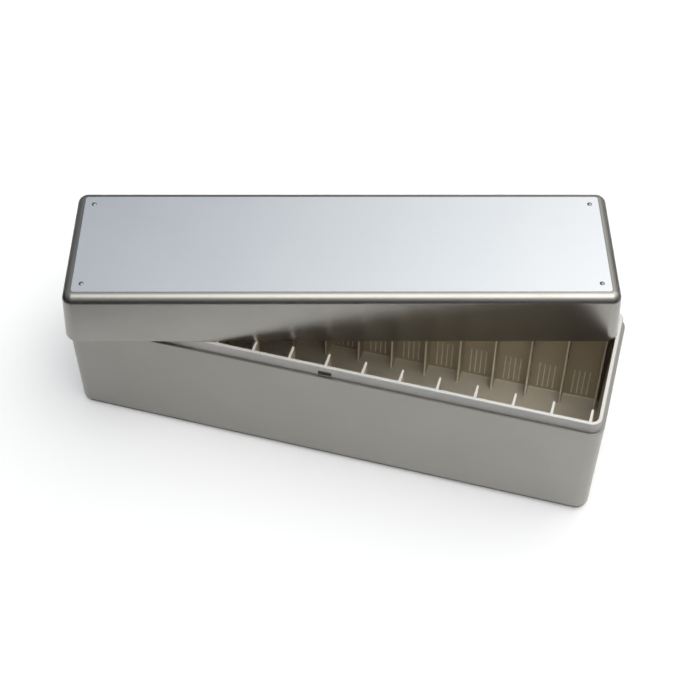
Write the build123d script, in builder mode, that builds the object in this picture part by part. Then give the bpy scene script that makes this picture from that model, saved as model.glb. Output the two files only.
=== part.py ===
import os
from math import radians, tan

from build123d import *

os.makedirs("parts", exist_ok=True)

# A long storage box for graded-coin slabs: a deep moulded tray with guide ribs, and a lift-off lid
# with a riveted aluminium plate. Sizes are in millimetres. The origin is the middle of the tray's
# underside, +X runs along the tray, +Z is up, and the front long wall is on the -Y side.
# The lid is where the box was left open: laid askew on the tray's rim.

# Sizes of the slab that the box is made for, and how many stand in one bay
slab_thickness = 8.0
slabs_in_bay = 2
bay_clearance = 0.2

# Tray
tray_length = 260.0
tray_width = 74.8
tray_height = 65.9
corner_radius = 6.6
tray_draft = 0.6
bottom_round = 4.5
floor_thickness = 2.0
floor_round = 1.0
inner_draft = 1.3
edge_round = 0.35

# Lip that the lid laps over, standing in from the shoulder
lip_height = 5.3
lip_thickness = 1.9
ledge_width = 1.5

# Guide ribs on both long walls, thinner towards their tips
rib_root_thickness = 1.4
rib_tip_thickness = 1.0
rib_reach_at_rim = 7.2
rib_reach_at_floor = 7.5
rib_round = 0.4

# Fine grip ridges low on the long walls, a group in the middle of each bay
ridge_count = 4
ridge_pitch = 2.6
ridge_width = 1.1
ridge_length = 17.6
ridge_height = 0.45
ridge_flank = 30.0
ridge_above_floor = 1.75

# Latch: a recess in the lip on each long side, and a bead inside the lid that clicks into it
recess_width = 6.4
recess_height = 2.5
recess_depth = 1.3
recess_above_shoulder = 0.4
bead_side_clearance = 0.25
bead_height = 1.6
bead_reach = 0.6

# Lid
lid_height = 27.9
lid_draft = 3.9
lid_wall = 1.8
lid_top_thickness = 2.2
lid_top_round = 4.6
lid_inner_round = 2.4
lap_clearance = 0.15
lap_headroom = 0.35

# Plate let into the top of the lid
plate_thickness = 0.8
plate_inset = 6.1
plate_gap = 0.25
plate_corner = 1.4
plate_edge_break = 0.15

# Rivets through the plate and the lid
rivet_edge_distance_x = 4.3
rivet_edge_distance_y = 4.95
rivet_shank_radius = 0.7
rivet_hole_clearance = 0.05
rivet_head_radius = 1.2
rivet_head_height = 0.5
rivet_head_round = 0.4
rivet_tail_height = 0.45

# How the lid lies on the tray: turned about the vertical, with its middle off the tray's middle
lid_turn = 15.5
lid_shift_x = -6.65
lid_shift_y = 18.15

# A little extra depth, so that a piece which grows out of a wall is rooted in it
root = 0.3


def narrowing(height, draft):
    """How far a face with this draft moves in over this height."""
    return height * tan(radians(draft))


# Heights and half sizes that the pieces share
shoulder = tray_height - lip_height
inset = ledge_width + lip_thickness
cavity_length = tray_length - 2 * inset
cavity_width = tray_width - 2 * inset
cavity_depth = tray_height - floor_thickness
cavity_radius = corner_radius - inset
bay_width = slab_thickness * slabs_in_bay + bay_clearance
bay_pitch = bay_width + rib_root_thickness
bay_count = int((cavity_length - rib_root_thickness) / bay_pitch)
rib_count = bay_count + 1
wall_at_rim = cavity_width / 2
wall_at_floor = wall_at_rim - narrowing(cavity_depth, inner_draft)
latch_height = recess_above_shoulder + recess_height / 2

# Guide rib of the front wall, as it stands at the middle of the tray: its section at the rim
# lofted down to its section under the floor's surface
rib_ends = (
    (tray_height, wall_at_rim, rib_reach_at_rim),
    (floor_thickness - root, wall_at_floor, rib_reach_at_floor),
)
with BuildPart() as rib:
    for level, wall, reach in rib_ends:
        with BuildSketch(Plane.XY.offset(level)) as section:
            with BuildLine():
                Polyline(
                    (-rib_root_thickness / 2, -wall - root),
                    (rib_root_thickness / 2, -wall - root),
                    (rib_tip_thickness / 2, -wall + reach),
                    (-rib_tip_thickness / 2, -wall + reach),
                    close=True,
                )
            make_face()
            fillet(section.vertices().sort_by(Axis.Y)[-2:], radius=rib_round)
    loft(ruled=True)

# Tray: outer shell, lip, cavity, guide ribs, grip ridges and latch recesses
with BuildPart() as tray:
    with BuildSketch(Plane.XY.offset(shoulder)):
        RectangleRounded(tray_length, tray_width, corner_radius)
    extrude(amount=-shoulder, taper=tray_draft)
    fillet(tray.faces().sort_by(Axis.Z)[0].edges(), radius=bottom_round)
    fillet(tray.faces().sort_by(Axis.Z)[-1].edges(), radius=edge_round)
    with BuildSketch(Plane.XY.offset(shoulder)):
        RectangleRounded(
            tray_length - 2 * ledge_width,
            tray_width - 2 * ledge_width,
            corner_radius - ledge_width,
        )
    extrude(amount=lip_height, taper=tray_draft)
    fillet(tray.faces().sort_by(Axis.Z)[-1].edges(), radius=edge_round)
    with BuildSketch(Plane.XY.offset(tray_height)):
        RectangleRounded(cavity_length, cavity_width, cavity_radius)
    extrude(amount=-cavity_depth, taper=inner_draft, mode=Mode.SUBTRACT)
    cavity_floor = tray.faces().filter_by(Axis.Z).sort_by(Axis.Z)[1]
    fillet(cavity_floor.edges(), radius=floor_round)
    with GridLocations(bay_pitch, 0, rib_count, 1):
        add(rib.part)
        add(rib.part.mirror(Plane.XZ))
    for side in (-1, 1):
        ridge_middle = ridge_above_floor + ridge_length / 2
        wall_there = wall_at_floor + narrowing(ridge_middle, inner_draft)
        wall_plane = Plane(
            origin=(0, side * wall_there, floor_thickness + ridge_middle),
            x_dir=(1, 0, 0),
            z_dir=(0, -side, tan(radians(inner_draft))),
        )
        with BuildSketch(wall_plane.offset(-root / 2)):
            with GridLocations(bay_pitch, 0, bay_count, 1):
                with GridLocations(ridge_pitch, 0, ridge_count, 1):
                    Rectangle(ridge_width, ridge_length)
        extrude(amount=ridge_height + root / 2, taper=ridge_flank)
    for side in (-1, 1):
        with BuildSketch(Plane.XZ.offset(-side * (tray_width / 2 - ledge_width - recess_depth))):
            with Locations((0, shoulder + latch_height)):
                Rectangle(recess_width, recess_height)
        extrude(amount=-side * (recess_depth + ledge_width), mode=Mode.SUBTRACT)
tray.part.label = "base_tray"

# The lid's own planes: its open edge, which lies on the tray's rim, and its top
lid_open_plane = Plane(
    origin=(lid_shift_x, lid_shift_y, tray_height), x_dir=(1, 0, 0), z_dir=(0, 0, 1)
).rotated((0, 0, lid_turn))
lid_top_plane = lid_open_plane.offset(lid_height)
lid_cross_plane = Plane(
    origin=lid_open_plane.origin, x_dir=lid_open_plane.y_dir, z_dir=lid_open_plane.x_dir
)
lid_top_corner = corner_radius - narrowing(lid_height, lid_draft)
plate_length = tray_length - 2 * plate_inset
plate_width = tray_width - 2 * plate_inset
seat_length = plate_length + 2 * plate_gap
seat_width = plate_width + 2 * plate_gap
rivet_spacing_x = plate_length - 2 * rivet_edge_distance_x
rivet_spacing_y = plate_width - 2 * rivet_edge_distance_y
rivet_hole_radius = rivet_shank_radius + rivet_hole_clearance
lap_inset = ledge_width - lap_clearance
lap_height = lip_height + lap_headroom
lap_face = tray_width / 2 - lap_inset
bead_length = recess_width - 2 * bead_side_clearance

# Lid: a shallow cap with a large round along its top, a lap for the lip, latch beads on the lap
# and a seat for the plate
with BuildPart() as lid:
    with BuildSketch(lid_open_plane):
        RectangleRounded(tray_length, tray_width, corner_radius)
    extrude(amount=lid_height, taper=lid_draft)
    fillet(lid.faces().sort_by(Axis.Z)[-1].edges(), radius=min(lid_top_round, 0.98 * lid_top_corner))
    fillet(lid.faces().sort_by(Axis.Z)[0].edges(), radius=edge_round)
    with BuildSketch(lid_open_plane):
        RectangleRounded(
            tray_length - 2 * lid_wall, tray_width - 2 * lid_wall, corner_radius - lid_wall
        )
    extrude(amount=lid_height - lid_top_thickness, taper=lid_draft, mode=Mode.SUBTRACT)
    ceiling = lid.faces().filter_by(Axis.Z).sort_by(Axis.Z)[-2]
    fillet(ceiling.edges(), radius=lid_inner_round)
    with BuildSketch(lid_open_plane):
        RectangleRounded(
            tray_length - 2 * lap_inset, tray_width - 2 * lap_inset, corner_radius - lap_inset
        )
    extrude(amount=lap_height, mode=Mode.SUBTRACT)
    for side in (-1, 1):
        with BuildSketch(lid_cross_plane):
            with BuildLine():
                nose = ThreePointArc(
                    (side * lap_face, latch_height - bead_height / 2),
                    (side * (lap_face - bead_reach), latch_height),
                    (side * lap_face, latch_height + bead_height / 2),
                )
                Polyline(
                    nose @ 1,
                    (side * (lap_face + root), latch_height + bead_height / 2),
                    (side * (lap_face + root), latch_height - bead_height / 2),
                    nose @ 0,
                )
            make_face()
        extrude(amount=bead_length / 2, both=True)
    with BuildSketch(lid_top_plane):
        RectangleRounded(seat_length, seat_width, plate_corner + plate_gap)
    extrude(amount=-plate_thickness, mode=Mode.SUBTRACT)
    with BuildSketch(lid_top_plane):
        with GridLocations(rivet_spacing_x, rivet_spacing_y, 2, 2):
            Circle(rivet_hole_radius)
    extrude(amount=-lid_top_thickness, mode=Mode.SUBTRACT)
lid.part.label = "lid_shell"

# Plate: thin aluminium, flush with the lid's top, with a broken upper edge and four rivet holes
with BuildPart() as plate:
    with BuildSketch(lid_top_plane):
        RectangleRounded(plate_length, plate_width, plate_corner)
    extrude(amount=-plate_thickness)
    chamfer(plate.faces().sort_by(Axis.Z)[-1].edges(), length=plate_edge_break)
    with BuildSketch(lid_top_plane):
        with GridLocations(rivet_spacing_x, rivet_spacing_y, 2, 2):
            Circle(rivet_hole_radius)
    extrude(amount=-plate_thickness, mode=Mode.SUBTRACT)
plate.part.label = "lid_plate"


def make_rivet(label, spot):
    """A small domed rivet through plate and lid, closed by a flat tail under the lid's top."""
    with BuildPart() as rivet:
        with BuildSketch(lid_top_plane):
            with Locations(spot):
                Circle(rivet_head_radius)
        extrude(amount=rivet_head_height)
        fillet(rivet.faces().sort_by(Axis.Z)[-1].edges(), radius=rivet_head_round)
        with BuildSketch(lid_top_plane):
            with Locations(spot):
                Circle(rivet_shank_radius)
        extrude(amount=-lid_top_thickness)
        with BuildSketch(lid_top_plane.offset(-lid_top_thickness)):
            with Locations(spot):
                Circle(rivet_head_radius)
        extrude(amount=-rivet_tail_height)
    rivet.part.label = label
    return rivet.part


rivet_x = rivet_spacing_x / 2
rivet_y = rivet_spacing_y / 2
rivets = [
    make_rivet("rivet_front_left", (-rivet_x, -rivet_y)),
    make_rivet("rivet_front_right", (rivet_x, -rivet_y)),
    make_rivet("rivet_back_left", (-rivet_x, rivet_y)),
    make_rivet("rivet_back_right", (rivet_x, rivet_y)),
]

for piece in [tray.part, lid.part, plate.part, *rivets]:
    export_step(piece, f"parts/{piece.label}.step")
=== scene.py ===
"""Looks for the coin slab storage box: silver plastic tray and lid, satin aluminium plate and four rivets."""

from math import acos, atan, cos, degrees, pi, radians, sin, tan

import bmesh
import bpy
from mathutils import Matrix, Vector


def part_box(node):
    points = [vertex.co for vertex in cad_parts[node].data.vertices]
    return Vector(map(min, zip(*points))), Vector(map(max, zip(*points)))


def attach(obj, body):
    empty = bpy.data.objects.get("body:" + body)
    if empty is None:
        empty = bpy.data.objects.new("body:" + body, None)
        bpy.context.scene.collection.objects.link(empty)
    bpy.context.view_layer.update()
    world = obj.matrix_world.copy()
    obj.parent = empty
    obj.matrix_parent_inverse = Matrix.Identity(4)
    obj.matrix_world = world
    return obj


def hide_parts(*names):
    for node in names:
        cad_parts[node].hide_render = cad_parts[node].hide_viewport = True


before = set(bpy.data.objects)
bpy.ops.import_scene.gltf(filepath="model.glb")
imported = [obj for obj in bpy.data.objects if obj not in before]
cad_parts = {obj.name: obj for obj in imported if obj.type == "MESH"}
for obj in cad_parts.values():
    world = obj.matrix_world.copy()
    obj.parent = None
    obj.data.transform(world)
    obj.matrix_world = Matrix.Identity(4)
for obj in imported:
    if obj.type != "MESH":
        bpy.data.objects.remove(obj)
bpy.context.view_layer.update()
scene = bpy.context.scene

MM = 0.001

# Sizes of the tray in millimetres, as in the CAD model
LENGTH = 260.0
WIDTH = 74.8
CORNER = 6.6
TRAY_HEIGHT = 65.9
SHOULDER = 60.6
TRAY_DRAFT = 0.6
BOTTOM_ROUND = 4.5
EDGE_ROUND = 0.35
LEDGE = 1.5
LIP = 1.9
CAVITY_DRAFT = 1.3
FLOOR = 2.0
FLOOR_ROUND = 1.0
BAY_PITCH = 17.6
RIBS = 15
RIB_ROOT = 1.4
RIB_TIP = 1.0
RIB_TIP_ROUND = 0.4
RIB_SUNK = 0.3
RIB_REACH_RIM = 7.2
RIB_REACH_FLOOR = 7.5
RIDGES = 4
RIDGE_PITCH = 2.6
RIDGE_HEIGHT = 0.45
RIDGE_LOW = 3.837
RIDGE_HIGH = 21.263
RIDGE_RAMP = 0.26
RIDGE_FOOT = 0.463
RIDGE_CREST = 0.3
RIDGE_CREST_SHARE = 0.85
RECESS_WIDTH = 6.4
RECESS_LOW = 61.0
RECESS_HIGH = 63.5
RECESS_DEPTH = 1.3

# Sizes of the lid and of the plate's seat in it
LID_HEIGHT = 27.9
LID_DRAFT = 3.9
LID_WALL = 1.8
LID_TOP = 2.2
LID_ROUND = 4.6
LID_INNER_ROUND = 2.4
LAP_INSET = 1.35
LAP_HEIGHT = 5.65
SEAT_INSET = 5.85
SEAT_CORNER = 1.65
SEAT_DEPTH = 0.8
PLATE_INSET = 6.0
PLATE_CORNER = 1.4
BEAD_LENGTH = 5.9
BEAD_HEIGHT = 1.6
BEAD_REACH = 0.6
BEAD_SUNK = 0.3
LATCH_HEIGHT = 1.65
LID_TURN = 15.5
LID_SHIFT = (-6.65, 18.15)

# Sizes of a rivet
HEAD_RADIUS = 1.2
HEAD_HEIGHT = 0.5
HEAD_RIM = 0.05
HEAD_FULLNESS = 3.8
SHANK_RADIUS = 0.7
TAIL_HEIGHT = 0.45
HOLE_CLEARANCE = 0.05

# Mould radii too small for the CAD model, which show as thin lights along the edges
TOP_EDGE = 0.08
RIB_FOOT = 0.25
SEAT_EDGE = 0.08
PLATE_EDGE = 0.05

# Steps that the rounds are divided into
OUTLINE_STEPS = 14
BOTTOM_STEPS = 16
EDGE_STEPS = 6
RIM_STEPS = 4
FOOT_STEPS = 8
CAVITY_CORNER_STEPS = 8
RIB_TIP_STEPS = 5
LID_STEPS = 22
LID_INNER_STEPS = 10
BEAD_STEPS = 10
BROKEN_EDGE_STEPS = 3
DOME_STEPS = 11
TURN_STEPS = 40

# How far a face turns to a direction before it counts as facing it, and the least step between two heights
STEEP = 0.7
SAME_HEIGHT = 0.01

# How far a cutter reaches beyond the wall that it cuts
CUT_BEYOND = 1.0

# Shading: the degrees from which an edge is sharp, and the weight that large faces have in the normals
SHARP_ANGLE = 32
FACE_AREA_WEIGHT = 100

LID_MATRIX = Matrix.Translation(
    Vector((LID_SHIFT[0], LID_SHIFT[1], TRAY_HEIGHT)) * MM
) @ Matrix.Rotation(radians(LID_TURN), 4, "Z")


# Mesh helpers


def rounded_loop(half_x, half_y, radius, z):
    """Points round a rounded rectangle at height z, counter-clockwise from above."""
    points = []
    for quarter, (sx, sy) in enumerate(((1, 1), (-1, 1), (-1, -1), (1, -1))):
        cx = sx * (half_x - radius)
        cy = sy * (half_y - radius)
        for n in range(OUTLINE_STEPS + 1):
            a = (quarter + n / OUTLINE_STEPS) * pi / 2
            points.append((cx + radius * cos(a), cy + radius * sin(a), z))
    return points


def arc(centre, radius, start, end, steps):
    """Points of an arc in a section, as (x, z), with angles in degrees."""
    turns = [radians(start + (end - start) * n / steps) for n in range(steps + 1)]
    return [(centre[0] + radius * cos(a), centre[1] + radius * sin(a)) for a in turns]


def skin(bm, loops, first=False, last=False):
    """Quads between loops of equally many points. first and last close the ends with one face each."""
    rings = [[bm.verts.new(Vector(p) * MM) for p in loop] for loop in loops]
    for low, high in zip(rings, rings[1:]):
        for n in range(len(low)):
            m = (n + 1) % len(low)
            bm.faces.new((low[n], low[m], high[m], high[n]))
    if first:
        bm.faces.new(rings[0][::-1])
    if last:
        bm.faces.new(rings[-1])
    return rings


def fill_between(bm, rings):
    """Flat faces inside a ring of vertices, or between two such rings."""
    edges = []
    for ring in rings:
        for n, v in enumerate(ring):
            other = ring[(n + 1) % len(ring)]
            edges.append(bm.edges.get((v, other)) or bm.edges.new((v, other)))
    bmesh.ops.triangle_fill(bm, use_beauty=True, edges=edges, normal=(0, 0, 1))


def box_mesh(name, low, high):
    """A plain box from corner to corner in millimetres, used only to cut with."""
    bm = bmesh.new()
    bmesh.ops.create_cube(bm, size=1)
    for v in bm.verts:
        for axis in range(3):
            middle = (low[axis] + high[axis]) / 2
            v.co[axis] = (middle + v.co[axis] * (high[axis] - low[axis])) * MM
    return mesh_object(name, bm)


def mesh_object(name, bm, *materials):
    """The mesh under construction becomes an object."""
    bmesh.ops.recalc_face_normals(bm, faces=bm.faces[:])
    mesh = bpy.data.meshes.new(name)
    bm.to_mesh(mesh)
    bm.free()
    for material in materials:
        mesh.materials.append(material)
    obj = bpy.data.objects.new(name, mesh)
    scene.collection.objects.link(obj)
    return obj


def combine(obj, tool, operation):
    """Cuts tool out of obj or joins it on for good, and removes tool."""
    modifier = obj.modifiers.new(operation.lower(), "BOOLEAN")
    modifier.operation = operation
    modifier.solver = "EXACT"
    modifier.object = tool
    bpy.context.view_layer.update()
    made = bpy.data.meshes.new_from_object(
        obj.evaluated_get(bpy.context.evaluated_depsgraph_get())
    )
    obj.modifiers.clear()
    old = obj.data
    obj.data = made
    made.name = obj.name
    bpy.data.meshes.remove(old)
    bpy.data.objects.remove(tool)


def shade(obj):
    """Smooth shading with crisp edges, where large flat faces keep their own normal."""
    for polygon in obj.data.polygons:
        polygon.use_smooth = True
    obj.data.set_sharp_from_angle(angle=radians(SHARP_ANGLE))
    modifier = obj.modifiers.new("flat_faces_first", "WEIGHTED_NORMAL")
    modifier.keep_sharp = True
    modifier.weight = FACE_AREA_WEIGHT


# Tray


def stepped_in(inset, z):
    """A loop of the tray or lid, this far in from the nominal outline."""
    return rounded_loop(LENGTH / 2 - inset, WIDTH / 2 - inset, CORNER - inset, z)


def tray_outside():
    """The tray's outer section from under the bottom to the top of the rim, as (inset, height)."""
    slope = tan(radians(TRAY_DRAFT))
    lean = cos(radians(TRAY_DRAFT))
    low = BOTTOM_ROUND * (1 - sin(radians(TRAY_DRAFT)))
    centre = ((SHOULDER - low) * slope + BOTTOM_ROUND * lean, BOTTOM_ROUND)
    section = arc(centre, BOTTOM_ROUND, 270, 180 + TRAY_DRAFT, BOTTOM_STEPS)
    centre = (EDGE_ROUND * (1 + slope), SHOULDER - EDGE_ROUND)
    section += arc(centre, EDGE_ROUND, 180 + TRAY_DRAFT, 90, EDGE_STEPS)
    section.append((LEDGE, SHOULDER))
    high = TRAY_HEIGHT - EDGE_ROUND
    centre = (LEDGE + (high - SHOULDER) * slope + EDGE_ROUND, high)
    section += arc(centre, EDGE_ROUND, 180 - TRAY_DRAFT, 90, EDGE_STEPS)
    return section


def cavity_levels():
    """Heights down the cavity, each with how far its walls and its ribs stand in beyond their draft."""
    slope = tan(radians(CAVITY_DRAFT))
    levels = []
    for n in range(RIM_STEPS + 1):
        a = radians(90 - 90 * n / RIM_STEPS)
        grown = -TOP_EDGE * (1 - cos(a))
        levels.append((TRAY_HEIGHT - TOP_EDGE * (1 - sin(a)), grown, grown))
    heights = [RIDGE_HIGH, RIDGE_HIGH - RIDGE_RAMP, RIDGE_LOW + RIDGE_RAMP, RIDGE_LOW]
    levels += [(z, 0.0, 0.0) for z in heights]
    top = FLOOR + FLOOR_ROUND * (1 - sin(radians(CAVITY_DRAFT)))
    centre = -(TRAY_HEIGHT - top) * slope - FLOOR_ROUND * cos(radians(CAVITY_DRAFT))
    for n in range(FOOT_STEPS + 1):
        a = radians(CAVITY_DRAFT + (90 - CAVITY_DRAFT) * n / FOOT_STEPS)
        z = FLOOR + FLOOR_ROUND * (1 - sin(a))
        reached = centre + FLOOR_ROUND * cos(a)
        above = max(0.0, 1 - (z - FLOOR) / RIB_FOOT)
        foot = RIB_FOOT * (1 - (1 - above**2) ** 0.5)
        levels.append((z, -(TRAY_HEIGHT - z) * slope - reached, foot))
    return levels


def rib_section(wall, reach, grown, wall_grown):
    """Half of a rib in plan from its root to its tip, as (half thickness, distance from the wall)."""
    length = reach + RIB_SUNK
    lean = atan((RIB_ROOT - RIB_TIP) / 2 / length)

    def half(d):
        return RIB_ROOT / 2 - (RIB_ROOT - RIB_TIP) / 2 * (d + RIB_SUNK) / length

    at = reach - RIB_TIP_ROUND
    centre = (half(at) - RIB_TIP_ROUND / cos(lean), at)
    points = [(half(wall_grown) + grown / cos(lean), wall_grown)]
    points += arc(centre, RIB_TIP_ROUND + grown, degrees(lean), 90, RIB_TIP_STEPS)
    return points


def cavity_loop(z, wall_grown, rib_grown):
    """The cavity's outline at one height, with every rib and ridge on both long walls."""
    drop = (TRAY_HEIGHT - z) * tan(radians(CAVITY_DRAFT))
    wall_y = WIDTH / 2 - LEDGE - LIP - drop
    wall_x = LENGTH / 2 - LEDGE - LIP - drop
    corner = CORNER - LEDGE - LIP - drop - wall_grown
    share = (TRAY_HEIGHT - z) / (TRAY_HEIGHT - FLOOR + RIB_SUNK)
    drop_at_end = (TRAY_HEIGHT - FLOOR) * tan(radians(CAVITY_DRAFT))
    tip_at_rim = WIDTH / 2 - LEDGE - LIP - RIB_REACH_RIM
    tip = tip_at_rim - share * (drop_at_end + RIB_REACH_FLOOR - RIB_REACH_RIM)
    half_rib = rib_section(wall_y, wall_y - tip, rib_grown, wall_grown)
    between = RIDGE_LOW + SAME_HEIGHT < z < RIDGE_HIGH - SAME_HEIGHT
    raised = RIDGE_HEIGHT if between else 0.0
    ridge = [
        (-RIDGE_FOOT, 0.0),
        (-RIDGE_CREST, RIDGE_CREST_SHARE * raised),
        (0.0, raised),
        (RIDGE_CREST, RIDGE_CREST_SHARE * raised),
        (RIDGE_FOOT, 0.0),
    ]
    side = []
    for k in range(RIBS):
        middle = (k - (RIBS - 1) / 2) * BAY_PITCH
        side += [(middle - x, d) for x, d in half_rib]
        side += [(middle + x, d) for x, d in reversed(half_rib)]
        if k < RIBS - 1:
            for r in range(RIDGES):
                at = middle + BAY_PITCH / 2 + (r - (RIDGES - 1) / 2) * RIDGE_PITCH
                side += [(at + x, d + wall_grown) for x, d in ridge]
    end_rib = side[-1][0]
    cx = wall_x - wall_grown - corner
    cy = wall_y - wall_grown - corner
    start = degrees(atan(max(0.0, end_rib - cx) / corner))
    front = [(x, d - wall_y) for x, d in side]
    front += arc((cx, -cy), corner, -90 + start, 0, CAVITY_CORNER_STEPS)[1:]
    front += arc((cx, cy), corner, 0, 90 - start, CAVITY_CORNER_STEPS)[:-1]
    back = [(-x, -y) for x, y in front]
    return [(x, y, z) for x, y in front + back]


def faces_since(bm, before):
    """The faces made since there were this many."""
    bm.faces.ensure_lookup_table()
    return bm.faces[before:]


def cavity_finish(face):
    """The finish of a face in the cavity: wall, painted darker as shade; floor, painted lighter as light; or
    a rib tip or ridge crest, painted lighter as a highlight.
    """
    face.normal_update()
    # Upward faces take the floor's paler colour: painted light
    if abs(face.normal.z) > STEEP:
        return "floor"
    centre = face.calc_center_median() / MM
    drop = (TRAY_HEIGHT - centre.z) * tan(radians(CAVITY_DRAFT))
    off_wall = WIDTH / 2 - LEDGE - LIP - drop - abs(centre.y)
    among_ribs = abs(centre.x) < (RIBS - 1) / 2 * BAY_PITCH + RIB_ROOT / 2
    across = abs(face.normal.y) > STEEP
    # Rib tips and ridge crests take a pale colour: a painted highlight
    if among_ribs and across and off_wall > RIDGE_HEIGHT / 2:
        return "edges"
    # The front wall is as pale inside as the floor
    if across and centre.y < 0:
        return "floor"
    return "wall"


def build_tray():
    """The tray, with a finish each for its outside, lip, rim, inner walls, inner edges and floor: the outside
    and inner walls painted darker as shade, the rim, inner edges and floor painted lighter as light and
    highlight.
    """
    slots = {finish: n for n, finish in enumerate(TRAY_FINISHES)}
    bm = bmesh.new()
    outside = skin(bm, [stepped_in(i, z) for i, z in tray_outside()], first=True)
    for face in bm.faces:
        if face.calc_center_median().z > (SHOULDER + EDGE_ROUND) * MM:
            face.material_index = slots["lip"]
    made = len(bm.faces)
    inside = skin(bm, [cavity_loop(*level) for level in cavity_levels()])
    fill_between(bm, (inside[-1],))
    for face in faces_since(bm, made):
        face.material_index = slots[cavity_finish(face)]
    made = len(bm.faces)
    # The rim's top face takes a pale colour: a painted highlight
    fill_between(bm, (outside[-1], inside[0]))
    for face in faces_since(bm, made):
        face.material_index = slots["rim"]
    materials = [silver_plastic(*finish) for finish in TRAY_FINISHES.values()]
    tray = mesh_object("tray_moulding", bm, *materials)
    for side in (-1, 1):
        back_wall = side * (WIDTH / 2 - LEDGE - RECESS_DEPTH)
        outer = side * (WIDTH / 2 + CUT_BEYOND)
        low = (-RECESS_WIDTH / 2, min(back_wall, outer), RECESS_LOW)
        high = (RECESS_WIDTH / 2, max(back_wall, outer), RECESS_HIGH)
        combine(tray, box_mesh("recess_cutter", low, high), "DIFFERENCE")
    return tray


# Lid


def lid_outside():
    """The lid's outer section from its open edge up to the edge of the plate's seat."""
    slope = tan(radians(LID_DRAFT))
    lean = cos(radians(LID_DRAFT))
    low = EDGE_ROUND * (1 + sin(radians(LID_DRAFT)))
    centre = (low * slope + EDGE_ROUND * lean, EDGE_ROUND)
    section = arc(centre, EDGE_ROUND, 270, 180 - LID_DRAFT, EDGE_STEPS)
    middle = LID_HEIGHT - LID_ROUND
    touch = middle + LID_ROUND * sin(radians(LID_DRAFT))
    centre = (touch * slope + LID_ROUND * lean, middle)
    stop = degrees(acos((SEAT_INSET - SEAT_EDGE - centre[0]) / LID_ROUND))
    return section + arc(centre, LID_ROUND, 180 - LID_DRAFT, stop, LID_STEPS)


def lid_inside():
    """The lid's inner section from the middle of its ceiling down to the open edge."""
    slope = tan(radians(LID_DRAFT))
    middle = LID_HEIGHT - LID_TOP - LID_INNER_ROUND
    touch = middle + LID_INNER_ROUND * sin(radians(LID_DRAFT))
    reach = LID_WALL + touch * slope + LID_INNER_ROUND * cos(radians(LID_DRAFT))
    section = arc((reach, middle), LID_INNER_ROUND, 90, 180 - LID_DRAFT, LID_INNER_STEPS)
    section.append((LID_WALL + LAP_HEIGHT * slope, LAP_HEIGHT))
    section.append((LAP_INSET, LAP_HEIGHT))
    return section + arc((LAP_INSET - TOP_EDGE, TOP_EDGE), TOP_EDGE, 0, -90, RIM_STEPS)


def seat_loop(grown, z):
    """The outline of the plate's seat, grown by this much."""
    half_x = LENGTH / 2 - SEAT_INSET + grown
    half_y = WIDTH / 2 - SEAT_INSET + grown
    return rounded_loop(half_x, half_y, SEAT_CORNER + grown, z)


def bead(side):
    """A latch bead inside the lid's lap, on the front (-1) or the back (1)."""
    face = WIDTH / 2 - LAP_INSET
    rise = BEAD_HEIGHT / 2
    radius = (rise**2 + BEAD_REACH**2) / 2 / BEAD_REACH
    half = degrees(atan(rise / (radius - BEAD_REACH)))
    centre = (face - BEAD_REACH + radius, LATCH_HEIGHT)
    nose = arc(centre, radius, 180 - half, 180 + half, BEAD_STEPS)
    nose += [(face + BEAD_SUNK, LATCH_HEIGHT - rise), (face + BEAD_SUNK, LATCH_HEIGHT + rise)]
    bm = bmesh.new()
    ends = [[(x, side * y, z) for y, z in nose] for x in (-BEAD_LENGTH / 2, BEAD_LENGTH / 2)]
    skin(bm, ends, first=True, last=True)
    return mesh_object("bead", bm)


def build_lid():
    """The lid in its own place above the tray's middle, before it is turned and shifted."""
    bm = bmesh.new()
    outside = lid_outside()
    seat_top = outside[-1][1]
    loops = [stepped_in(i, z) for i, z in lid_inside()]
    loops += [stepped_in(i, z) for i, z in outside]
    for grown, drop in arc((SEAT_EDGE, -SEAT_EDGE), SEAT_EDGE, 90, 180, BROKEN_EDGE_STEPS)[1:]:
        loops.append(seat_loop(grown, seat_top + drop))
    loops.append(seat_loop(0, LID_HEIGHT - SEAT_DEPTH))
    skin(bm, loops, first=True, last=True)
    lid = mesh_object("lid_moulding", bm, silver_plastic(*LID_FINISH))
    for side in (-1, 1):
        combine(lid, bead(side), "UNION")
    return lid


# Plate and rivets


def build_plate():
    """The plate in its own place above the tray's middle, with a barely broken upper edge."""
    half_x = LENGTH / 2 - PLATE_INSET
    half_y = WIDTH / 2 - PLATE_INSET
    loops = [rounded_loop(half_x, half_y, PLATE_CORNER, LID_HEIGHT - SEAT_DEPTH)]
    for grown, drop in arc((-PLATE_EDGE, -PLATE_EDGE), PLATE_EDGE, 0, 90, BROKEN_EDGE_STEPS):
        corner = PLATE_CORNER + grown
        loops.append(rounded_loop(half_x + grown, half_y + grown, corner, LID_HEIGHT + drop))
    bm = bmesh.new()
    skin(bm, loops, first=True, last=True)
    return mesh_object("satin_plate", bm, satin_sheet("satin_aluminium"))


def turned(name, x, y, section, *materials):
    """A round piece about an upright axis, from its section as (radius, height)."""
    turns = [2 * pi * n / TURN_STEPS for n in range(TURN_STEPS)]
    loops = [[(x + r * cos(a), y + r * sin(a), z) for a in turns] for r, z in section]
    bm = bmesh.new()
    skin(bm, loops, first=True, last=True)
    return mesh_object(name, bm, *materials)


def rivet_axis(node):
    """Where a rivet's axis stands, from its CAD node."""
    low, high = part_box(node)
    return (low.x + high.x) / 2 / MM, (low.y + high.y) / 2 / MM


def drill(obj, node):
    """Drills a rivet's hole through the lid or the plate."""
    radius = SHANK_RADIUS + HOLE_CLEARANCE
    top = TRAY_HEIGHT + LID_HEIGHT
    section = [(radius, top - 2 * LID_TOP), (radius, top + LID_TOP)]
    combine(obj, turned("drill", *rivet_axis(node), section), "DIFFERENCE")


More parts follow.
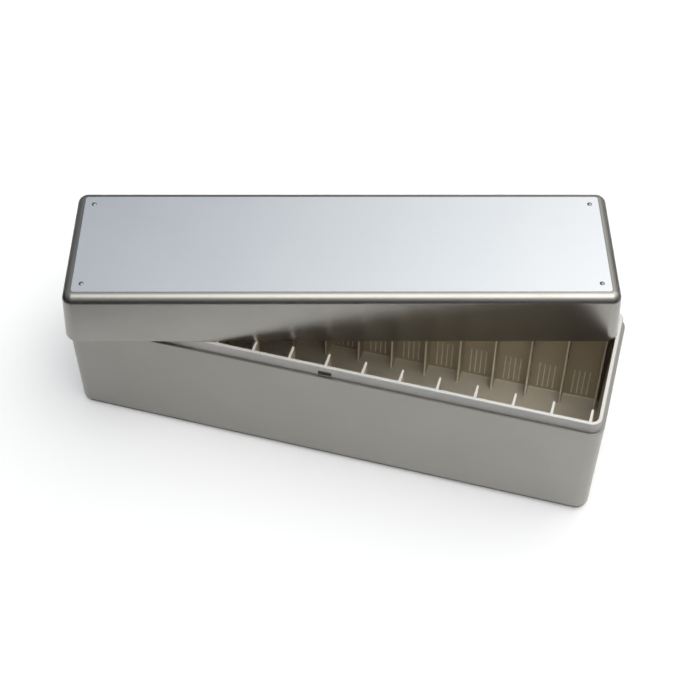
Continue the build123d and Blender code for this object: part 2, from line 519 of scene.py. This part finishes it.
def build_rivet(node, material):
    """A domed rivet on the axis of its CAD node: dome with a thin rim, shank and tail."""
    top = TRAY_HEIGHT + LID_HEIGHT
    under = top - LID_TOP
    dome = HEAD_RADIUS - HEAD_RIM
    section = [(HEAD_RADIUS, under - TAIL_HEIGHT), (HEAD_RADIUS, under), (SHANK_RADIUS, under)]
    section += [(SHANK_RADIUS, top), (dome, top), (HEAD_RADIUS, top + HEAD_RIM)]
    for n in range(DOME_STEPS):
        share = 1 - n / DOME_STEPS
        rise = (HEAD_HEIGHT - HEAD_RIM) * (1 - share**HEAD_FULLNESS)
        section.append((dome * share, top + HEAD_RIM + rise))
    return turned(node.replace("rivet", "dome_rivet"), *rivet_axis(node), section, material)


# Materials

# Finishes of silver plastic: name, darker and lighter colour, metallic, and lowest and highest roughness
LID_FINISH = ("lid_plastic", (0.318, 0.305, 0.284), (0.356, 0.342, 0.321), 0.955, 0.28, 0.32)
TRAY_FINISHES = {
    # The tray's outside is a darker copy of the lid's plastic: painted shade on the tray's outer walls
    "outside": ("tray_plastic", (0.287, 0.276, 0.255), (0.317, 0.305, 0.284), 0.955, 0.31, 0.35),
    "lip": ("lip_plastic", (0.35, 0.34, 0.325), (0.39, 0.38, 0.365), 0.12, 0.46, 0.52),
    # The rim's pale colour is a painted highlight on the tray's top face
    "rim": ("rim_plastic_painted_highlight", (0.68, 0.67, 0.635), (0.74, 0.73, 0.695), 0.85, 0.34, 0.4),
    # The inner walls and the floor are one plastic in two copies: the walls painted darker as shade, the
    # floor painted lighter as light; the front wall's inner face takes the floor's colour
    "wall": ("wall_plastic_painted_shade", (0.48, 0.42, 0.32), (0.53, 0.465, 0.36), 0.42, 0.5, 0.56),
    # The pale colour of the rib tips and ridge crests is a painted highlight
    "edges": ("edge_plastic_painted_highlight", (0.88, 0.82, 0.72), (0.94, 0.88, 0.78), 0.08, 0.4, 0.46),
    "floor": ("floor_plastic_painted_light", (0.78, 0.715, 0.59), (0.84, 0.775, 0.645), 0.3, 0.5, 0.56),
}

# The plastic's patterns: their scales in noise cells to the metre, the flake's share in the colour, the bump
FLAKE_SCALE = 5200.0
MOTTLE_SCALE = 34.0
PATCH_SCALE = 150.0
GRAIN_SCALE = 1400.0
FLAKE_SHARE = 0.35
GRAIN_STRENGTH = 0.12
GRAIN_HEIGHT = 0.00004

# The plate's satin, with streaks fine across the lid and drawn out along it
SHEET_DARK = (0.85, 0.872, 0.895)
SHEET_LIGHT = (0.88, 0.9, 0.92)
SHEET_ROUGHNESS = (0.31, 0.35)
STREAK_SCALE = (9.0, 2600.0, 9.0)
STREAK_SHARE = 0.6
STREAK_STRENGTH = 0.03
STREAK_HEIGHT = 0.00002
CLOUD_SCALE = 22.0

# The rivets' metal
RIVET_DARK = (0.28, 0.28, 0.275)
RIVET_LIGHT = (0.34, 0.34, 0.33)
RIVET_ROUGHNESS = (0.18, 0.25)
RIVET_WEAR_SCALE = 2600.0

# The part of a pattern's range that runs over a whole ramp
NOISE_LOW = 0.3
NOISE_HIGH = 0.7
TONE_LOW = 0.2
TONE_HIGH = 0.8


class Nodes:
    """Short calls to build a node tree."""

    def __init__(self, tree):
        self.tree = tree

    def node(self, kind, inputs=None, **settings):
        made = self.tree.nodes.new("ShaderNode" + kind)
        for key, value in settings.items():
            setattr(made, key, value)
        for key, value in (inputs or {}).items():
            self.put(made.inputs[key], value)
        return made

    def put(self, socket, value):
        """A link where value is another node's output, or else a constant."""
        if isinstance(value, bpy.types.NodeSocket):
            self.tree.links.new(value, socket)
        else:
            socket.default_value = value

    def noise(self, vector, scale, detail=2.0):
        inputs = {"Vector": vector, "Scale": scale, "Detail": detail}
        return self.node("TexNoise", inputs).outputs[0]

    def ramp(self, value, low, high, out_low, out_high, **settings):
        inputs = {0: value, 1: low, 2: high, 3: out_low, 4: out_high}
        return self.node("MapRange", inputs, **settings).outputs[0]

    def levels(self, value, stops):
        """A level that runs straight from each stop to the next, with stops as (value, level)."""
        low = stops[0][0]
        high = stops[-1][0]
        most = max(level for at, level in stops)
        made = self.node("ValToRGB", {0: self.ramp(value, low, high, 0.0, 1.0)})
        elements = made.color_ramp.elements
        for n, (at, level) in enumerate(stops):
            position = (at - low) / (high - low)
            stop = elements[n] if n < 2 else elements.new(position)
            stop.position = position
            stop.color = (level / most, level / most, level / most, 1)
        return self.math("MULTIPLY", made.outputs[0], most)

    def math(self, operation, a, b):
        return self.node("Math", {0: a, 1: b}, operation=operation).outputs[0]

    def weighted(self, a, share, b):
        """Two patterns added up, a with this share and b with the rest."""
        return self.math("ADD", self.math("MULTIPLY", a, share), self.math("MULTIPLY", b, 1 - share))

    def relief(self, shader, height, strength, distance):
        """Bump from a pattern, on the shader's normal."""
        bump = self.node("Bump", {"Strength": strength, "Distance": distance, "Height": height})
        self.put(shader.inputs["Normal"], bump.outputs[0])

    def mix(self, factor, a, b):
        """A colour between a and b."""
        made = self.node("Mix", {0: factor}, data_type="RGBA", blend_type="MIX")
        for socket, value in ((made.inputs[6], a), (made.inputs[7], b)):
            self.put(socket, value if isinstance(value, bpy.types.NodeSocket) else (*value, 1))
        return made.outputs[2]


def new_material(name):
    """A material, its nodes and its shader."""
    material = bpy.data.materials.new(name)
    material.use_nodes = True
    nodes = Nodes(material.node_tree)
    return material, nodes, material.node_tree.nodes["Principled BSDF"]


def silver_plastic(name, low, high, metallic, smooth, rough):
    """Silver-pigmented plastic: fine metallic flake, soft mottling and a slight moulded grain."""
    material, m, shader = new_material(name)
    place = m.node("TexCoord").outputs["Object"]
    flake = m.node("TexVoronoi", {"Vector": place, "Scale": FLAKE_SCALE}).outputs["Color"]
    flake = m.node("SeparateColor", {0: flake}).outputs[0]
    mottle = m.noise(place, MOTTLE_SCALE, detail=3.0)
    tone = m.weighted(flake, FLAKE_SHARE, mottle)
    m.put(shader.inputs["Base Color"], m.mix(m.ramp(tone, TONE_LOW, TONE_HIGH, 0.0, 1.0), low, high))
    m.put(shader.inputs["Metallic"], metallic)
    patches = m.noise(place, PATCH_SCALE)
    m.put(shader.inputs["Roughness"], m.ramp(patches, NOISE_LOW, NOISE_HIGH, smooth, rough))
    m.relief(shader, m.noise(place, GRAIN_SCALE), GRAIN_STRENGTH, GRAIN_HEIGHT)
    return material


def satin_sheet(name):
    """Satin aluminium with a fine grain along the lid."""
    material, m, shader = new_material(name)
    place = m.node("TexCoord").outputs["Object"]
    aligned = m.node("VectorRotate", {"Vector": place, "Angle": -radians(LID_TURN)}).outputs[0]
    along = m.node("Mapping", {"Vector": aligned, "Scale": STREAK_SCALE}).outputs[0]
    streak = m.noise(along, scale=1.0, detail=3.0)
    tone = m.weighted(streak, STREAK_SHARE, m.noise(place, CLOUD_SCALE))
    colour = m.mix(m.ramp(tone, NOISE_LOW, NOISE_HIGH, 0.0, 1.0), SHEET_DARK, SHEET_LIGHT)
    m.put(shader.inputs["Base Color"], colour)
    m.put(shader.inputs["Metallic"], 1.0)
    m.put(shader.inputs["Roughness"], m.ramp(tone, NOISE_LOW, NOISE_HIGH, *SHEET_ROUGHNESS))
    m.relief(shader, streak, STREAK_STRENGTH, STREAK_HEIGHT)
    return material


def rivet_metal(name):
    """Bright tumbled aluminium."""
    material, m, shader = new_material(name)
    worn = m.noise(m.node("TexCoord").outputs["Object"], RIVET_WEAR_SCALE)
    m.put(shader.inputs["Base Color"], m.mix(worn, RIVET_DARK, RIVET_LIGHT))
    m.put(shader.inputs["Metallic"], 1.0)
    m.put(shader.inputs["Roughness"], m.ramp(worn, NOISE_LOW, NOISE_HIGH, *RIVET_ROUGHNESS))
    return material


# The pieces


def settle(obj, body, node):
    """Finishes a piece and lets it stand for its CAD node."""
    shade(obj)
    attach(obj, body)
    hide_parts(node)


tray = build_tray()
lid = build_lid()
plate = build_plate()
rivet_aluminium = rivet_metal("rivet_aluminium")
rivets = ["rivet_" + corner for corner in ("front_left", "front_right", "back_left", "back_right")]
for piece in (lid, plate):
    piece.data.transform(LID_MATRIX)
    for node in rivets:
        drill(piece, node)
settle(tray, "tray", "base_tray")
settle(lid, "lid", "lid_shell")
settle(plate, "lid", "lid_plate")
for node in rivets:
    settle(build_rivet(node, rivet_aluminium), "lid", node)


# Camera, floor and light

CAMERA_PLACE = (0.12371, -0.44553, 0.57440)
CAMERA_AZIMUTH = 15.2331
CAMERA_ELEVATION = 49.193
CAMERA_ROLL = 0.1828
CAMERA_LENS = 74.1026
CAMERA_SENSOR = 36
CAMERA_NEAR = 0.01
CAMERA_FAR = 100

camera = bpy.data.objects.new("camera", bpy.data.cameras.new("camera"))
scene.collection.objects.link(camera)
camera.matrix_world = (
    Matrix.Translation(CAMERA_PLACE)
    @ Matrix.Rotation(radians(CAMERA_AZIMUTH), 4, "Z")
    @ Matrix.Rotation(radians(90 - CAMERA_ELEVATION), 4, "X")
    @ Matrix.Rotation(radians(CAMERA_ROLL), 4, "Z")
)
camera.data.sensor_width = CAMERA_SENSOR
camera.data.lens = CAMERA_LENS
camera.data.clip_start = CAMERA_NEAR
camera.data.clip_end = CAMERA_FAR
scene.camera = camera


def towards(azimuth, elevation):
    """A direction seen from the object: azimuth 0 is the front, 90 the right end."""
    a = radians(azimuth)
    e = radians(elevation)
    return (sin(a) * cos(e), -cos(a) * cos(e), sin(e))


# The floor in metres, its glow, and how that glow runs in reflections from left to right, a painted light
# that is brighter on the right
FLOOR_RADIUS = 20
FLOOR_SIDES = 96
FLOOR_COLOUR = 0.8
FLOOR_ROUGHNESS = 0.9
FLOOR_GLOW = 0.18
GLOW_REACH = 0.16
GLOW_LEFT = 0.4
GLOW_RIGHT = 1.6


def build_floor():
    """A wide pale floor, a little whiter when seen straight or in a reflection, with painted light in its
    reflections that grows from left to right, and open from below.
    """
    bm = bmesh.new()
    bmesh.ops.create_circle(bm, cap_ends=True, radius=FLOOR_RADIUS, segments=FLOOR_SIDES)
    floor = mesh_object("floor", bm)
    material, m, shader = new_material("pale_floor")
    shader.inputs["Base Color"].default_value = (FLOOR_COLOUR, FLOOR_COLOUR, FLOOR_COLOUR, 1)
    shader.inputs["Roughness"].default_value = FLOOR_ROUGHNESS
    shader.inputs["Specular IOR Level"].default_value = 0.0
    shader.inputs["Emission Color"].default_value = (1, 1, 1, 1)
    path = m.node("LightPath").outputs
    place = m.node("SeparateXYZ", {0: m.node("TexCoord").outputs["Object"]}).outputs
    seen = m.math("MAXIMUM", path["Is Glossy Ray"], path["Is Transmission Ray"])
    # The glow seen in gloss grows from left to right: painted light in reflections
    painted_light_grade = m.ramp(place["X"], -GLOW_REACH, GLOW_REACH, GLOW_LEFT, GLOW_RIGHT)
    seen = m.math("MULTIPLY", seen, painted_light_grade)
    seen = m.math("MAXIMUM", seen, path["Is Camera Ray"])
    m.put(shader.inputs["Emission Strength"], m.math("MULTIPLY", seen, FLOOR_GLOW))
    below = m.node("NewGeometry").outputs["Backfacing"]
    clear = m.node("BsdfTransparent").outputs[0]
    either = m.node("MixShader", {0: below, 1: shader.outputs[0], 2: clear}).outputs[0]
    m.put(material.node_tree.nodes["Material Output"].inputs["Surface"], either)
    floor.data.materials.append(material)


# The ring of card in millimetres, seen only in gloss, with the colours of its painted reflections in front,
# dark and lighter to the right, its pale level behind by X in metres, and the Y in metres where one passes
# into the other
CARD_CLEARANCE = 128.0
CARD_FOOT = 1.0
CARD_HEIGHT = 120.0
PAINTED_REFLECTION_LEFT = (0.02, 0.02, 0.02)
PAINTED_REFLECTION_RIGHT = (0.16, 0.158, 0.15)
PAINTED_REFLECTION_BACK = ((-0.2, 0.28), (0.0, 0.85), (0.1, 0.85), (0.19, 0.5))
CARD_TURNS_BACK = (-0.02, 0.06)

# The strip of card round the object's foot in millimetres, a painted shadow seen only in gloss along the
# bottom edge: how far it reaches out, and its height
PAINTED_FOOT_SHADOW = 0.2
PAINTED_FOOT_SHADOW_HEIGHT = 0.05


def build_painted_reflection_cards():
    """Cards seen only in gloss, which paint reflections: a ring, dark in front and pale behind, and a strip
    at the object's foot as a painted shadow.
    """
    bm = bmesh.new()
    half_x = LENGTH / 2 + CARD_CLEARANCE
    half_y = WIDTH / 2 + CARD_CLEARANCE
    skin(bm, [rounded_loop(half_x, half_y, CARD_CLEARANCE, z) for z in (CARD_FOOT, CARD_HEIGHT)])
    # The strip round the foot, seen only in gloss, is a painted shadow along the bottom edge
    skin(bm, [stepped_in(i, PAINTED_FOOT_SHADOW_HEIGHT) for i in (BOTTOM_ROUND, -PAINTED_FOOT_SHADOW)])
    cards = mesh_object("painted_reflection_cards", bm)
    cards.visible_camera = False
    cards.visible_diffuse = False
    cards.visible_transmission = False
    cards.visible_shadow = False
    # The cards' colours are painted reflections: dark in front, lighter to the right, and pale behind
    material, m, shader = new_material("painted_reflection_card")
    place = m.node("SeparateXYZ", {0: m.node("TexCoord").outputs["Object"]}).outputs
    rightwards = m.ramp(place["X"], -half_x * MM, half_x * MM, 0.0, 1.0)
    backwards = m.ramp(place["Y"], *CARD_TURNS_BACK, 0.0, 1.0)
    front = m.mix(rightwards, PAINTED_REFLECTION_LEFT, PAINTED_REFLECTION_RIGHT)
    back = m.mix(m.levels(place["X"], PAINTED_REFLECTION_BACK), (0, 0, 0), (1, 1, 1))
    m.put(shader.inputs["Base Color"], m.mix(backwards, front, back))
    shader.inputs["Roughness"].default_value = 1.0
    shader.inputs["Specular IOR Level"].default_value = 0.0
    cards.data.materials.append(material)


# The sky's level is the product of three, by how far a direction points up, to the right and to the back
SKY = ((0.0, 0.26), (0.4, 0.26), (0.65, 0.7), (0.8, 0.85), (0.95, 0.9))
ACROSS = ((-0.9, 1.1), (-0.36, 0.49), (0.0, 1.53), (0.6, 2.6))
DEPTH = ((0.0, 0.6), (0.35, 1.03))
SKY_LEFT_COLOUR = (0.855, 0.925, 1.0)
SKY_RIGHT_COLOUR = (1.0, 1.0, 0.99)

# The soft lamp in the sky: its direction, and the angles from its middle between which it fades
LAMP_TOWARDS = towards(46, 70)
LAMP_INNER = 12
LAMP_OUTER = 31
LAMP_LEVEL = 2.65


def build_sky():
    """Soft studio light: a pale sky, darker at its horizon, with a broad soft lamp overhead."""
    world = bpy.data.worlds.new("studio")
    scene.world = world
    world.use_nodes = True
    world.cycles.sampling_method = "NONE"
    m = Nodes(world.node_tree)
    direction = m.node("TexCoord").outputs["Generated"]
    split = m.node("SeparateXYZ", {0: direction}).outputs
    sky = m.math("MULTIPLY", m.levels(split["Z"], SKY), m.levels(split["X"], ACROSS))
    sky = m.math("MULTIPLY", sky, m.levels(split["Y"], DEPTH))
    near = m.node("VectorMath", {0: direction, 1: LAMP_TOWARDS}, operation="DOT_PRODUCT")
    edge = (cos(radians(LAMP_OUTER)), cos(radians(LAMP_INNER)))
    lamp = m.ramp(near.outputs["Value"], *edge, 0.0, LAMP_LEVEL, interpolation_type="SMOOTHSTEP")
    background = world.node_tree.nodes["Background"]
    rightwards = m.ramp(split["X"], ACROSS[1][0], ACROSS[2][0], 0.0, 1.0)
    m.put(background.inputs["Color"], m.mix(rightwards, SKY_LEFT_COLOUR, SKY_RIGHT_COLOUR))
    m.put(background.inputs["Strength"], m.math("ADD", sky, lamp))


build_floor()
build_painted_reflection_cards()
build_sky()
scene.view_settings.view_transform = "Standard"
